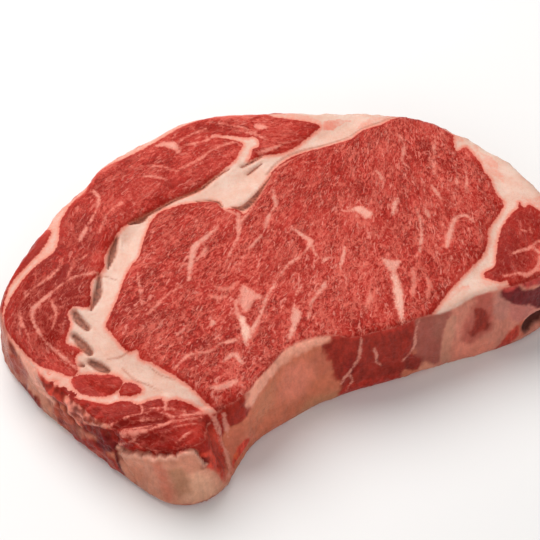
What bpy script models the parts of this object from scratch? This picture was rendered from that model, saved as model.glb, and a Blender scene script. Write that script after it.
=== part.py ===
"""Raw ribeye steak: one thick slice, cut across the grain, lying on its lower cut face.

Metres, +Z up. X runs along the slice, from the cap muscle at -X to the rib end at +X.
The back edge is at +Y, and the tail of the slice hangs off it at -Y. The origin is
under the middle of the slice, on the face that it rests on.

The steak is one piece of meat, so it is one solid: a wall lofted through rings of the
outline, closed by the two cut faces, with the relief of muscles and fat seams on them.
"""

import bmesh
import bpy
import numpy as np
from mathutils import Vector, noise
from mathutils.geometry import delaunay_2d_cdt

MM = 0.001

# Driving sizes, in millimetres.
LENGTH = 197.0  # cap end to rib end, along X
DEPTH = 154.0  # tail to back edge, along Y
THICK = 31.0  # at the eye muscle
THIN_SIDE = 8.0  # how much lower the cap and tail edge lies
THIN_FROM, THIN_TO = 55.0, 87.0  # where that slope starts and ends, towards the tail and cap
THIN_WAY = (-0.75, -0.66)  # the way it slopes

# How finely the surface is made, in millimetres.
WALL_STEP = 3.6  # along the outline
FACE_STEP = 2.8  # over the upper cut face
UNDER_STEP = 8.5  # over the flat lower face

# Rings of the wall, from the upper face to the lower: how far in, and how high as a share.
RINGS = (
    (3.2, 1.0),
    (1.3, 0.985),
    (0.3, 0.93),
    (0.0, 0.8),
    (0.0, 0.62),
    (0.0, 0.44),
    (0.0, 0.26),
    (0.2, 0.1),
    (1.5, 0.02),
    (3.6, 0.0),
)

# The outline at half height, anticlockwise seen from above, in groups.
BACK_EDGE = [(63, 66), (58, 70), (47, 74), (30, 76), (8, 76), (-12, 76), (-35, 72)]
CAP_EDGE = [(-55, 58), (-67, 48), (-70, 41), (-81, 26), (-86, 15), (-93, 4), (-97, -5)]
CAP_FRONT = [(-98, -15), (-92, -26), (-83, -38), (-70, -51), (-57, -63)]
TAIL = [(-45, -72), (-33, -76), (-24, -72), (-20, -65)]
FRONT_EDGE = [(-14, -57), (-5, -47), (8, -36), (22, -31), (38, -26), (54, -19), (70, -12)]
RIB_END = [(84, -7), (93, 0), (98, 13), (97, 28), (89, 42), (76, 57)]
OUTLINE = BACK_EDGE + CAP_EDGE + CAP_FRONT + TAIL + FRONT_EDGE + RIB_END

# Grooves of the upper face: a line of points, depth and half width.
CAP_SEAM = [(24, 69), (6, 56), (-8, 46), (-20, 37), (-34, 31), (-46, 25), (-54, 13)]
EYE_SEAM = [(-54, 13), (-60, -5), (-62, -21), (-56, -37), (-40, -47), (-26, -57)]
RIB_SEAM = [(66, 55), (76, 41), (74, 19), (69, 3), (60, -7), (52, -16)]
TAIL_VALLEY = [(-80, -29), (-66, -43), (-50, -52), (-36, -58), (-26, -61)]
GROOVES = (
    (CAP_SEAM, 1.6, 5.0),
    (EYE_SEAM, 1.8, 5.5),
    (RIB_SEAM, 1.4, 5.0),
    (TAIL_VALLEY, 2.2, 5.0),
)

# The wall leans out towards its foot: place along the outline, how far, and over what length.
LEAN_ALL = 1.0
LEANS = (((70, -12), 4.5, 14.0), ((6, -38), 5.5, 14.0), ((-20, -65), 7.0, 10.0), ((-34, -76), 4.0, 12.0))

# The fold where the tail turns away from the front edge.
FOLD_AT = (-20.5, -62.0)
FOLD_DEPTH, FOLD_WIDTH = 4.5, 4.0

# Unevenness of cut meat: height of the swells, and their length.
FACE_SWELL, FACE_SWELL_LENGTH = 0.8, 26.0
WALL_SWELL, WALL_SWELL_LENGTH = 1.3, 11.0

MEAT_COLOUR = (0.46, 0.07, 0.05, 1.0)


def clear_scene():
    for obj in list(bpy.data.objects):
        bpy.data.objects.remove(obj, do_unlink=True)


def smooth_line(points, step, closed=False):
    """Evenly spaced points along a Catmull-Rom curve through the given ones."""
    p = np.array(points, float)
    if closed:
        p = np.vstack((p[-1], p, p[0], p[1]))
    else:
        p = np.vstack((2 * p[0] - p[1], p, 2 * p[-1] - p[-2]))
    t = np.linspace(0, 1, 24, endpoint=False)[:, None]
    runs = [
        0.5 * (2 * b + (c - a) * t + (2 * a - 5 * b + 4 * c - d) * t**2 + (3 * b - a - 3 * c + d) * t**3)
        for a, b, c, d in zip(p, p[1:], p[2:], p[3:])
    ]
    curve = np.vstack(runs + [p[-2]])
    along = np.append(0, np.cumsum(np.hypot(*np.diff(curve, axis=0).T)))
    count = round(along[-1] / step)
    even = np.linspace(0, along[-1], count, endpoint=not closed)
    return np.column_stack([np.interp(even, along, curve[:, i]) for i in (0, 1)])


def inward(ring):
    """The unit vector into the slice at each point of an anticlockwise ring."""
    along = np.roll(ring, -1, axis=0) - np.roll(ring, 1, axis=0)
    along /= np.hypot(*along.T)[:, None]
    return np.column_stack((-along[:, 1], along[:, 0]))


def to_line(xy, line):
    """Distance of each point from a line of close-set points."""
    return np.sqrt(((xy[:, None] - line[None]) ** 2).sum(2).min(1))


def swell(xy, z, length):
    """Smooth unevenness between -1 and 1, the same at every run."""
    return np.array([noise.noise(Vector((x, y, h)) / length) for (x, y), h in zip(xy, z)])


def ease(t):
    t = np.clip(t, 0, 1)
    return t * t * (3 - 2 * t)


def face_height(xy):
    """Height of the upper cut face in millimetres."""
    towards = xy @ np.array(THIN_WAY)
    height = THICK - THIN_SIDE * ease((towards - THIN_FROM) / (THIN_TO - THIN_FROM))
    for points, depth, half_width in GROOVES:
        away = to_line(xy, smooth_line(points, 1.0))
        height -= depth * np.exp(-((away / half_width) ** 2))
    away = np.hypot(*(xy - FOLD_AT).T)
    height -= FOLD_DEPTH * np.exp(-((away / (2 * FOLD_WIDTH)) ** 2))
    return height + FACE_SWELL * swell(xy, np.zeros(len(xy)), FACE_SWELL_LENGTH)


def wall_ring(outline, inset, share):
    """One ring of the wall: the outline drawn in, leaning, folded and uneven."""
    into = inward(outline)
    lean = np.full(len(outline), LEAN_ALL)
    for at, far, length in LEANS:
        lean += far * np.exp(-((np.hypot(*(outline - at).T) / length) ** 2))
    fold = FOLD_DEPTH * np.exp(-((np.hypot(*(outline - FOLD_AT).T) / FOLD_WIDTH) ** 2))
    height = share * face_height(outline)
    bulge = WALL_SWELL * swell(outline, height, WALL_SWELL_LENGTH) * ease(4 * share)
    xy = outline + into * (inset + lean * (share - 0.5) + fold * ease(2 * share) - bulge)[:, None]
    return xy, share * face_height(xy) if share < 1 else face_height(xy)


def fill_points(ring, step):
    """A staggered grid of points inside a ring, clear of its edge."""
    low, high = ring.min(0), ring.max(0)
    rows = np.arange(low[1], high[1], step * 0.866)
    grid = [
        (x + (step / 2 if i % 2 else 0), y)
        for i, y in enumerate(rows)
        for x in np.arange(low[0], high[0], step)
    ]
    grid = np.array(grid)
    after = np.roll(ring, -1, axis=0)
    x, y = grid[:, :1], grid[:, 1:]
    spans = (ring[:, 1] > y) != (after[:, 1] > y)
    rise = np.where(after[:, 1] == ring[:, 1], 1e-9, after[:, 1] - ring[:, 1])
    crosses = spans & (x < ring[:, 0] + (y - ring[:, 1]) / rise * (after[:, 0] - ring[:, 0]))
    inside = crosses.sum(1) % 2 == 1
    return grid[inside & (to_line(grid, ring) > 0.7 * step)]


def add_verts(bm, xy, z):
    return [bm.verts.new((x, y, h)) for (x, y), h in zip(xy, z)]


def fill(bm, ring, ring_verts, inner, inner_verts, up):
    """Closes a ring with triangles over the points inside it."""
    verts = ring_verts + inner_verts
    flat = [Vector(p) for p in np.vstack((ring, inner))]
    made = delaunay_2d_cdt(flat, [], [list(range(len(ring)))], 1, 1e-5)
    for face in made[2]:
        corners = [verts[made[3][i][0]] for i in face]
        bm.faces.new(corners if up else corners[::-1])


def fit_to_size(bm):
    """Stretches the slice to its driving sizes, centred on the origin, and to metres."""
    xy = np.array([vert.co[:2] for vert in bm.verts])
    low, high = xy.min(0), xy.max(0)
    for vert in bm.verts:
        x, y = (np.array(vert.co[:2]) - (low + high) / 2) * (LENGTH, DEPTH) / (high - low)
        vert.co = (x * MM, y * MM, vert.co.z * MM)


def steak_mesh():
    outline = smooth_line(OUTLINE, WALL_STEP, closed=True)
    bm = bmesh.new()
    rings = []
    for inset, share in RINGS:
        xy, z = wall_ring(outline, inset, share)
        rings.append((xy, add_verts(bm, xy, z)))
    for (_, upper), (_, lower) in zip(rings, rings[1:]):
        for i, vert in enumerate(upper):
            j = (i + 1) % len(upper)
            bm.faces.new((vert, lower[i], lower[j], upper[j]))
    ring, verts = rings[0]
    inner = fill_points(ring, FACE_STEP)
    fill(bm, ring, verts, inner, add_verts(bm, inner, face_height(inner)), up=True)
    ring, verts = rings[-1]
    inner = fill_points(ring, UNDER_STEP)
    fill(bm, ring, verts, inner, add_verts(bm, inner, np.zeros(len(inner))), up=False)
    fit_to_size(bm)
    bmesh.ops.recalc_face_normals(bm, faces=bm.faces)
    mesh = bpy.data.meshes.new("steak")
    bm.to_mesh(mesh)
    bm.free()
    mesh.shade_smooth()
    return mesh


def meat_material():
    material = bpy.data.materials.new("raw_beef")
    material.use_nodes = True
    shader = material.node_tree.nodes["Principled BSDF"]
    shader.inputs["Base Color"].default_value = MEAT_COLOUR
    shader.inputs["Roughness"].default_value = 0.45
    return material


def main():
    clear_scene()
    part = bpy.data.collections.new("ribeye_steak")
    bpy.context.scene.collection.children.link(part)
    steak = bpy.data.objects.new("steak", steak_mesh())
    steak.data.materials.append(meat_material())
    part.objects.link(steak)


main()
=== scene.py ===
"""The look of a raw ribeye steak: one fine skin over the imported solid.

The skin is a close copy of the solid. Every point of it is told in millimetres how far it lies
from the edge of a muscle, from a vein of fat, from a pit or a crease. Those gaps raise and sink
the skin, and the flesh material reads them for its colour. Lengths are in millimetres throughout,
and the mesh itself is in metres.
"""

import math
import random

import bmesh
import bpy
import numpy as np
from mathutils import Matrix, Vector, kdtree, noise


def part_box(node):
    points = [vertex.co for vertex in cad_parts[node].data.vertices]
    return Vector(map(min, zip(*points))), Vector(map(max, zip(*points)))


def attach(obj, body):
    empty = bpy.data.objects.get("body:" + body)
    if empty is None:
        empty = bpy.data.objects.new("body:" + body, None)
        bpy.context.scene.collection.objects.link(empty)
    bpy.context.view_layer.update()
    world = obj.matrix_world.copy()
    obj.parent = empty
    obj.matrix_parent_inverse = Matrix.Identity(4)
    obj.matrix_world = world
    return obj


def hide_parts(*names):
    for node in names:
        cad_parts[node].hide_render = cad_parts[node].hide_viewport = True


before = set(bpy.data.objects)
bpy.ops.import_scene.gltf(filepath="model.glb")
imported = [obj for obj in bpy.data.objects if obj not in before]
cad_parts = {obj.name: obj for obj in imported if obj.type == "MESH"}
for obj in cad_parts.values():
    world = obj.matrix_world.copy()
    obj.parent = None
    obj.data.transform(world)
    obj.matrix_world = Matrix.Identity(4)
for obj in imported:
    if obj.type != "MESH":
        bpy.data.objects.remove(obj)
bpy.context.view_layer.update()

MM = 0.001
SKIN_PITCH = 0.69  # side of a skin face
UNDER_THINNING = 0.88  # share of the flat underside's faces that is left out
BOX_MARGIN = 0.001  # how far inside the solid's box the skin stays
LINE_REACH = 5.0  # how far out a gap to a line is measured
AREA_REACH = 9.0  # and a gap to an area
BARED_REACH = 4.0  # and a gap to bared muscle on the wall
APART = 300  # between the fibres of two muscles, so that no two share a pattern

# ---------------------------------------------------------------- the cut face, seen from above
EYE = [
    (50, 72), (43, 73), (35, 68), (28, 65), (24, 61), (15, 58), (8, 56), (2, 53), (-2, 49), (-5, 44),
    (-6, 41), (-9, 35), (-11, 30), (-14, 25), (-17, 28), (-21, 27), (-23, 30), (-24, 32), (-30, 32),
    (-36, 31), (-40, 29), (-43, 28), (-46, 24), (-47, 21), (-49, 13), (-50, 6), (-53, 1), (-55, -5),
    (-56, -10), (-58, -17), (-59, -20), (-60, -23), (-58, -26), (-56, -29), (-52, -34), (-49, -34),
    (-48, -37), (-44, -39), (-40, -42), (-37, -44), (-32, -48), (-29, -51), (-26, -54), (-23, -56),
    (-20, -60), (-12, -60), (-6, -52), (-1, -44), (5, -37), (12, -34), (22, -34), (32, -31),
    (41, -26), (48, -20), (53, -13), (57, -7), (61, -2), (65, 3), (68, 7), (70, 12), (71, 19),
    (75, 26), (77, 31), (75, 35), (74, 38), (73, 43), (71, 47), (70, 51), (67, 56), (65, 58),
    (62, 56), (61, 58), (61, 63), (59, 65), (56, 68),
]
CAP = [
    (6, 70), (1, 71), (-4, 72), (-7, 74), (-19, 73), (-28, 72), (-37, 67), (-43, 62), (-48, 58), (-55, 53),
    (-62, 49), (-68, 44), (-70, 36), (-74, 31), (-77, 24), (-78, 21), (-78, 14), (-79, 8), (-83, 4),
    (-87.4, 0), (-91, -4.5), (-93.8, -9), (-95.2, -13), (-95, -18), (-93.5, -21), (-90, -26), (-85, -32),
    (-80, -36), (-76, -37), (-72, -39), (-69, -38), (-70, -33), (-68, -31), (-73, -28), (-73, -25),
    (-72, -22), (-73, -17), (-71, -15), (-66, -15), (-66, -7), (-65, -3), (-62, 1), (-62, 5), (-61, 9),
    (-59, 14), (-58, 17), (-55, 21), (-49, 26), (-46, 28), (-42, 31), (-37, 34), (-31, 37), (-29, 39),
    (-26, 42), (-21, 47), (-18, 50), (-16.6, 53), (-15.4, 56), (-14.6, 58.4), (-17, 60), (-20.5, 61),
    (-23.5, 62), (-20, 62.8), (-15.5, 61.8), (-12.8, 61.7), (-11, 62.2), (-9, 60), (-9, 57.4), (-11, 56),
    (-12, 52.6), (-12.6, 50.6), (-8.6, 53), (-5, 54), (-1, 55), (4, 58), (7, 61), (11, 65), (13, 68),
]
RIB = [
    (85.6, 30), (88, 27.6), (92, 24), (96, 16), (97, 7), (96, -1), (91, -8), (84, -10), (79, -9.5),
    (76.6, -7), (75.6, -5), (73, -5.6), (70.4, -4.6), (68.4, -3), (68, -1), (69.6, .6), (72, 2.4),
    (73, 9), (74, 14), (75.4, 19), (77.4, 23), (80, 26.6), (81.8, 28.2), (82.4, 31), (83.4, 28.6),
    (84.6, 28.4),
]
RIM_STRIP = [
    (-81, 17), (-82, 12), (-84.5, 7), (-88, 3), (-92, -1), (-94.6, -5), (-95.6, -11), (-97, -16),
    (-104, -14), (-101, 0), (-92, 9), (-85, 18),
]
ISLAND = [
    (-71, -41), (-69, -39), (-62, -40), (-57, -41), (-54.5, -42.5), (-53.5, -44.5), (-56, -47),
    (-60, -48), (-66, -47), (-69, -45),
]
ISLAND_TIP = [(-52.5, -44.3), (-49, -45.6), (-47, -48), (-49.5, -49.4), (-54, -48.5), (-54.5, -46.5)]
TAIL = [
    (-72, -47.5), (-68, -48.5), (-63, -50.2), (-58, -51.6), (-55, -50.6), (-51, -51.2), (-48, -53),
    (-45, -52), (-41, -51.8), (-39, -53.2), (-36, -52.6), (-31, -54.4), (-27, -56.6), (-24, -57.6),
    (-20, -60), (-19, -68), (-22, -80), (-45, -84), (-66, -74), (-78, -60),
]

# Lines of fat: points (x, y) with the half width at each, then how pale (1) or pink (0) the fat is.
EYE_VEINS = [
    ([(-16, 25, .6), (-16, 19, .5), (-16, 14, .35), (-18, 9, .3), (-20, 3, .3)], .4),
    ([(-23, 30, .3), (-20, 26.5, .45), (-16, 24, .3)], .3),
    ([(-7, 37, .2), (-10.5, 30, .35), (-13, 24.5, .35), (-15, 21, .4), (-16, 17, .35)], .3),
    ([(10, 55.2, .2), (4, 52.4, .3), (-1, 48.4, .35), (-4.3, 43.4, .35), (-7, 38, .35),
      (-9.6, 31.6, .3)], .25),
    ([(-23, 18.5, .4), (-27, 14, .9), (-31, 9.5, 1.2), (-32, 3, 1.0), (-32.5, -5, .5)], .5),
    ([(-28, 12, .3), (-27.5, 8, .5), (-30, 4, .3)], .4),
    ([(-4, 36, .4), (-3.5, 32, .7), (-3, 29, .4), (-5, 25, .4), (-6, 21, .8), (-6.5, 18, .4)], .5),
    ([(-8, 15, .3), (-10, 12, .6), (-12, 9, .4)], .4),
    ([(3, 18, .3), (6, 15, .5), (9, 12, .9), (6, 6, .45), (1, 1.5, .4), (-2, -4, .4), (-5, -10, .45),
      (-7, -16, .5), (-8.5, -21, .5), (-11, -27, .9), (-12.5, -33, .4)], .55),
    ([(9, 12, .5), (10, 8, .4), (11, 5, .2)], .4),
    ([(-15, -12, .5), (-16.5, -16, .9), (-15.5, -21, .5)], .3),
    ([(6, -7, .25), (5, -9, .4), (3, -13, .25)], .4),
    ([(14, -6, .3), (12.5, -9, .9), (9, -15, .45), (8, -22, .3)], .5),
    ([(3, -16, .6), (3.8, -21, 1.5), (2.5, -27, .9), (1, -31, .3)], .55),
    ([(-25, -22, .3), (-24, -24, .9), (-26, -26, .4)], .6),
    ([(-22, -33, .4), (-19, -32, .9), (-16, -31, .3)], .5),
    ([(-24, -8, .5), (-20, -9, 1.0), (-16, -6, .5)], .0),
    ([(-26, -12, .3), (-22, -13, .8), (-19, -11, .3)], .0),
    ([(13, 2.5, .3), (14, 4, .8), (16.5, 5, .25)], .6),
    ([(20.5, 10, .25), (20, 5, .6), (19, .5, .25)], .6),
    ([(37, -3, .9), (38, -8, 1.6), (38.5, -14, 1.5), (39.3, -23, .4)], .8),
    ([(43.5, 0, .4), (44, -5, .8), (43, -13, .4)], .1),
    ([(29, -8, .3), (28.5, -13, .7), (27, -18, .3)], .1),
    ([(48, -2, .3), (49, -7, .6), (48, -12, .3)], .0),
    ([(56, 10, .5), (57, 15, 1.2), (58, 19, .8), (60, 23, .7), (63, 24, .7), (66, 21, .3)], .55),
    ([(41, 63, .25), (43, 58, .4), (42, 50, .3), (44, 47, .2)], .3),
    ([(32.5, 46, .3), (34, 43, .7), (35.5, 40, .3)], .5),
    ([(20.5, 26, .3), (24, 26.5, .6), (26, 27, .6)], .4),
    ([(39.5, 32, .4), (38.7, 29, .8), (38, 25, .3)], .7),
    ([(46, 28, .25), (47, 23, .5), (47.5, 17, .4), (47, 11, .5), (46.5, 7, .25)], .6),
    ([(49, 29, .2), (49.5, 26, .6), (50.5, 23, .2)], .6),
    ([(52, 38, .3), (53.5, 35, .8), (55, 32, .3)], .5),
    ([(54, 60, .2), (53.5, 53, .35), (53, 44, .2)], .3),
    ([(64, 47, .2), (64.5, 42, .4), (64, 35, .25)], .4),
    ([(61, 49, .2), (61.3, 44, .4), (61, 38, .2)], .4),
    ([(-50, -2, .25), (-49, -9, .35), (-48, -16, .25)], .3),
    ([(-46, -20, .25), (-43, -16, .4), (-39, -11, .4), (-35, -8, .25)], .25),
    ([(-36, -42, .3), (-31, -37, .5), (-25, -36, .4), (-21, -32, .3)], .3),
    ([(-24, -50, .4), (-20, -50, 1.2), (-16, -48, .8)], .4),
    ([(-20, -40, .3), (-17, -37, .9), (-14, -41, .4)], .5),
]
CAP_VEINS = [
    ([(-64, -1, .5), (-70, -3, .35), (-75, -6, .35), (-80, -10, .5), (-85, -14, 1.0), (-84.5, -19, .5),
      (-82, -23.5, .5), (-78, -28, .45), (-74, -32, .4), (-69, -37, .3)], .4),
    ([(-76, 4, .3), (-78, -1, .4), (-81, -4, .3), (-86, -7, .3), (-88, -9, .2)], .3),
    ([(-67, 36, .3), (-65, 31, .4), (-66, 25, .35), (-68, 20, .4), (-69.5, 16, .8), (-71, 12, .3)], .4),
    ([(-22, 62, .5), (-25, 62, .4), (-27, 60.4, .35), (-32, 58.4, .35), (-36, 57, .35), (-38, 54, .3)], .25),
    ([(-15, 58, .4), (-18, 59, .4), (-23, 57, .35), (-27, 54, .4), (-30, 51, .4), (-34, 48, .35),
      (-38, 45, .25)], .2),
    ([(-28, 66, .25), (-30, 64.4, .35), (-35, 62, .3), (-38, 59, .2)], .2),
    ([(3, 61, .2), (-2, 57.8, .3), (-6, 55.4, .4), (-9, 54, .4)], .3),
    ([(-38, 45, .25), (-43, 47, .3), (-48, 47.6, .3), (-53, 46, .2)], .15),
    ([(-42, 41, .25), (-47, 42.5, .4), (-52, 42, .25)], .3),
    ([(-9, 65.6, .3), (-12, 63.6, .3), (-17, 65, .3)], .2),
    ([(-6, 60, .25), (-14, 66, .3), (-24, 69, .25)], .2),
    ([(-57, 30, .25), (-62, 24, .3), (-64, 16, .25)], .1),
    ([(-68, 6, .25), (-72, 2, .3), (-74, -4, .2)], .2),
    ([(-79, -12, .2), (-77, -17, .4), (-78, -22, .2)], .2),
    ([(-90, -13, .2), (-89, -18, .35), (-86, -24, .25)], .2),
]
RIB_VEINS = [
    ([(78, 6, .25), (81, 8, .35), (84, 9, .4), (85.4, 10.4, .5), (87.4, 12, .3), (90, 13, .3)], .25),
    ([(85.4, 10.2, .4), (86.6, 8, .35), (88.4, 6, .3), (90, 2, .3)], .25),
    ([(85, 19, .25), (85.4, 16, .3)], .1),
    ([(82, 18, .25), (83.4, 16.6, .3)], .1),
    ([(75, -3, .4), (77, -2.8, .5), (80, -2.4, .4), (82.4, -3, .5), (84.6, -1.6, .8), (86.4, 1, .8),
      (87.4, 5, .4)], .25),
    ([(88, -3, .3), (87, 0, .8), (90, -1, .5)], .2),
]
FAT_PATCHES = [  # wider patches of fat in the eye and the cap: outline, then how pale
    ([(-14.5, -7.5), (-12.6, -8.2), (-10, -10.4), (-7.6, -12.6), (-10.2, -14.4), (-11.6, -18),
      (-13.8, -19), (-15, -14)], .35),
    ([(-15, -20.6), (-13, -23), (-11.2, -27), (-11.4, -30), (-13, -33), (-14.4, -29.6), (-15.2, -25)], .95),
    ([(24, 27), (27, 28.6), (30.6, 25), (28.6, 22.6), (26.6, 25)], .6),
    ([(33, 5.2), (36, 3.6), (39.6, 3.6), (38.6, .6), (37.4, -3), (35, 0)], .5),
    ([(-46.5, 57), (-43, 59), (-39, 59), (-37.6, 56), (-40, 55.6), (-43, 57)], .5),
    ([(-10.4, 68), (-7, 68), (-5.6, 66), (-8.6, 65), (-10.4, 66)], .35),
]

# Threads of fat scattered in a muscle: how far inside its edge, how many, seed of the dice,
# half width, length, and how much they wander.
THREADS = [
    ("eye", 0.3, 620, 11, 0.36, 2.4, 0.5),
    ("eye", 0.3, 150, 14, 0.5, 6.0, 0.22),
    ("cap", 0.3, 210, 12, 0.38, 4.2, 0.3),
    ("rib", 0.5, 24, 13, 0.36, 4.0, 0.3),
]
UNDER_SEED = 50  # added to the seed on the underside

# Share of fine marbling in each muscle. The small muscles are the islands and the tail.
MARBLING = {"eye": 0.95, "cap": 0.5, "rib": 0.2, "small": 0.15}

# Raised lines of membrane on the tail, and creases, which are sunk and painted darker as shade: points (x,
# y, z) with the half width at each.
TAIL_MEMBRANES = [
    [(-66, -54, 18, .5), (-61, -58, 21, .7), (-57, -60, 23, .7), (-53, -59, 24, .5), (-50, -58, 25, .45),
     (-43, -57, 25, .4), (-39, -58, 26, .5), (-36, -59.5, 26, .6), (-30, -58, 26, .9), (-24, -56, 26, .7)],
    [(-53, -63, 23, .5), (-50, -64, 24, .6), (-45, -64, 25, .6), (-41, -63, 26, .7), (-37, -62, 26, .9),
     (-33, -61, 26, .7), (-28, -59, 26, .8), (-24, -56, 27, .6)],
    [(-53, -64, 23, .4), (-50, -65, 24, .35), (-46, -64.5, 25, .3), (-42, -65, 26, .35), (-38, -65, 26, .2)],
    [(-55, -63, 16, .7), (-53, -65, 20, .5), (-49, -66, 23.5, .35)],
    [(-35, -69, 26, .4), (-32, -67, 27, .5), (-28, -65, 26, .3)],
    [(-42, -71, 22, .4), (-41, -68, 24.5, .35), (-40, -66, 26, .2)],
    [(-47.5, -52.6, 25, .6), (-46.6, -55, 25, .5), (-46.5, -57.5, 25, .5)],
    [(-39.3, -52, 27, .8), (-38.8, -55, 26, .7), (-39.5, -58, 26, .5)],
    [(-44, -55.5, 25, .7), (-38, -56, 26, .6), (-33, -57, 26, .9)],
    [(-25, -56, 26, .5), (-23.5, -58, 24, .5), (-22.5, -60, 18, .45), (-20.5, -61, 11, .4),
     (-18.5, -63, 5, .4)],
    [(-23, -61, 15, .3), (-20.5, -66, 12, .4), (-19, -66, 6, .3)],
    [(-55, -62, 21, .2), (-52, -62.5, 24, .4), (-48, -62.6, 25, .4), (-44, -62.4, 25.5, .4),
     (-40, -61.5, 26, .3)],
    [(-50, -60, 25, .2), (-45, -59.5, 25.6, .35), (-40, -59.4, 26, .2)],
    [(-36, -64, 26.5, .2), (-31, -62.8, 26.6, .4), (-26.5, -60, 26.5, .3)],
    [(-38, -70.5, 24, .2), (-33, -70.5, 25.5, .35), (-28, -68.5, 26, .2)],
]
TAIL_CREASES = [
    [(-54, -61, 24, .5), (-50, -61, 25, .7), (-45, -60.5, 26, .6), (-40, -60.5, 26, .4)],
    [(-53, -66, 20, .6), (-50, -66.5, 23, .9), (-45, -66.5, 25, .5)],
    [(-45, -69.5, 23, .6), (-42.5, -67, 25, .8), (-40, -68, 25.5, .4)],
    [(-50, -67.5, 20, .5), (-45, -70, 21.5, .5), (-39, -71, 23, .4)],
    [(-24.5, -60, 24, .4), (-23.5, -64, 18, .5), (-22, -68, 12, .3)],
    [(-21, -57, 27, .6), (-19.5, -59, 22, .7), (-17.5, -60, 16, .4)],
    [(-56.5, -61.5, 20, .7), (-55, -63, 14, .8), (-52, -66, 9, .7), (-50, -69, 4, .5)],
]

# Pits, crevices and brown lines in the seam fat: points (x, y) with the half width at each.
# The pits are brown, with painted shade darkening their middles besides their sunk relief.
PITS = [
    [(-47.3, 26.8, .3), (-50, 24, 1.1), (-54, 21.6, .35)],
    [(-57.8, 15.5, .5), (-59, 9, 1.25), (-60.4, 2, .35)],
    [(-63, -2, .6), (-63.3, -9, 1.3), (-65.3, -16, .4)],
    [(-71, -17.3, 1.1), (-69.3, -20, 1.5), (-66.3, -23, 1.1)],
    [(-71, -25.5, .9), (-68, -29, 1.5), (-65.2, -32, 1.2)],
    [(-65, -35.3, 1.0), (-62, -37.2, 1.5), (-59, -39, .9)],
    [(-68.2, -35.8, .5), (-67.3, -36.2, .4)],
]
# Painted shade: the crevices are painted brown for the shade in them, besides their sunk relief.
CREVICES = [
    [(-19.6, 46.6, .2), (-22, 45, .3), (-25.6, 41.6, .4), (-29, 38.2, .45), (-34, 35.2, .4),
     (-39, 32.4, .35), (-43, 29.6, .4), (-46.6, 27, .5)],
    [(-4.5, 44, .25), (-8.5, 36.5, .9), (-11.5, 31.5, 1.3), (-14.5, 28.4, 1.3), (-18, 28.6, .4)],
    [(-31, 32.8, .2), (-26, 33.2, .35), (-23.3, 32, .4), (-21.8, 29, .3)],
    [(-15, 48, .5), (-11.5, 50.4, .45), (-8, 53, .25)],
    [(-13, 45, .3), (-10.5, 47.5, .45), (-8, 50, .2)],
]
# Painted shade: brown lines of shade along the borders where the fat lies below the muscle.
BROWN_SHADE_LINES = [
    [(42, 74, .2), (34.6, 69.4, .3), (27.4, 66.2, .3), (23, 62.4, .3), (14.4, 59.4, .4), (7.4, 57.2, .5),
     (1, 54, .5), (-3.2, 50, .5), (-6.2, 44.8, .5)],
    [(-59, -35, .2), (-55, -35, .3), (-52, -34, .2)],
    [(-54, -39, .15), (-50, -43.5, .25), (-46, -46, .25), (-42, -48.5, .15)],
    [(-45, -40, .15), (-41, -43.5, .2), (-36, -46, .15)],
    [(-64, -1, .15), (-60, -2, .2), (-57, -3.5, .15)],
]

# ---------------------------------------------------------------- the edge wall, as (x, z)
def oval(x, z, wide, high):
    """The outline of a small round patch."""
    turns = [i * math.pi / 4 for i in range(8)]
    return [(x + wide * math.cos(turn), z + high * math.sin(turn)) for turn in turns]


WALL_MEMBRANE = "#CF7558"  # the thin skin of fat over the front of the eye muscle
BACK_FAT = "#DFA993"
BACK_MUSCLE = "#A63A2E"
TORN_GAP_SHADE = "#7E1D13"  # painted shade: dark muscle colour in the gaps between the torn lumps of the left flank
LIP_EDGE = "#DFA08A"  # the pale rim of the fat that hangs over the tail

TAIL_FAT_EDGE = [
    (-55.5, 14.5), (-53.6, 14.8), (-51, 16.8), (-49, 19.2), (-47, 19.4), (-45, 20.8), (-43, 20.4),
    (-41, 22), (-38.6, 22.4), (-37, 23.6), (-35.6, 23.2), (-34, 25.2), (-31, 25), (-29, 24.4),
    (-27.6, 21.6), (-26, 18),
]
HOLLOW = [(82.5, 8), (84, 12.6), (88, 12.4), (93, 9), (88, 5), (84.5, 4.5)]

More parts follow.
